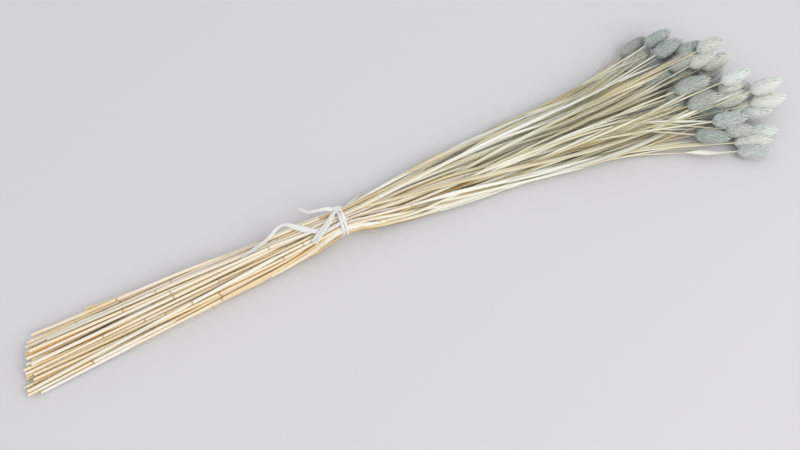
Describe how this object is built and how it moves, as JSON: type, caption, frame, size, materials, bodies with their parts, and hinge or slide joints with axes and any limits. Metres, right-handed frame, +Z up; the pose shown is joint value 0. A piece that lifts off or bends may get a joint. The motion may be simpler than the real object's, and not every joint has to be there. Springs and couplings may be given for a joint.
{
  "type": "dried phalaris bunch",
  "caption": "Tied bunch of dried canary grass lying down: pale straw stems, oval sage green seed heads and a whitish raffia ribbon with loose ends.",
  "frame": {"origin": "under the middle of the tie, on the flat spot where the tie lies on the surface", "axes": "+X along the bunch towards the seed heads, +Z up from the surface the bunch lies on"},
  "size_m": [0.7135, 0.1659, 0.041],
  "materials": {
    "straw": "dry satin straw",
    "seed_heads": "matt, downy, dyed pale sage green",
    "ribbon": "matt whitish raffia with fine lengthwise streaks"
  },
  "bodies": {
    "root": {"heads_01": "seed_heads", "heads_02": "seed_heads", "heads_03": "seed_heads", "heads_04": "seed_heads", "heads_05": "seed_heads", "heads_06": "seed_heads", "heads_07": "seed_heads", "heads_08": "seed_heads", "heads_09": "seed_heads", "heads_10": "seed_heads", "heads_11": "seed_heads", "heads_12": "seed_heads", "heads_13": "seed_heads", "heads_14": "seed_heads", "heads_15": "seed_heads", "heads_16": "seed_heads", "stem_01": "straw", "stem_02": "straw", "stem_03": "straw", "stem_04": "straw", "stem_05": "straw", "stem_06": "straw", "stem_07": "straw", "stem_08": "straw", "stem_09": "straw", "stem_10": "straw", "stem_11": "straw", "stem_12": "straw", "stem_13": "straw", "stem_14": "straw", "stem_15": "straw", "stem_16": "straw", "stem_17": "straw", "stem_18": "straw", "stem_19": "straw", "stem_20": "straw", "stem_21": "straw", "stem_22": "straw", "stem_23": "straw", "stem_24": "straw", "stem_25": "straw", "stem_26": "straw", "stem_27": "straw", "stem_28": "straw", "stem_29": "straw", "stem_30": "straw", "stem_31": "straw", "stem_32": "straw", "stem_33": "straw", "stem_34": "straw", "stem_35": "straw", "stem_36": "straw", "stem_37": "straw", "stem_38": "straw", "stem_39": "straw", "stem_40": "straw", "tie_band": "ribbon", "tie_tail_broad": "ribbon", "tie_tail_long": "ribbon", "tie_tail_short": "ribbon"}
  },
  "joints": []
}
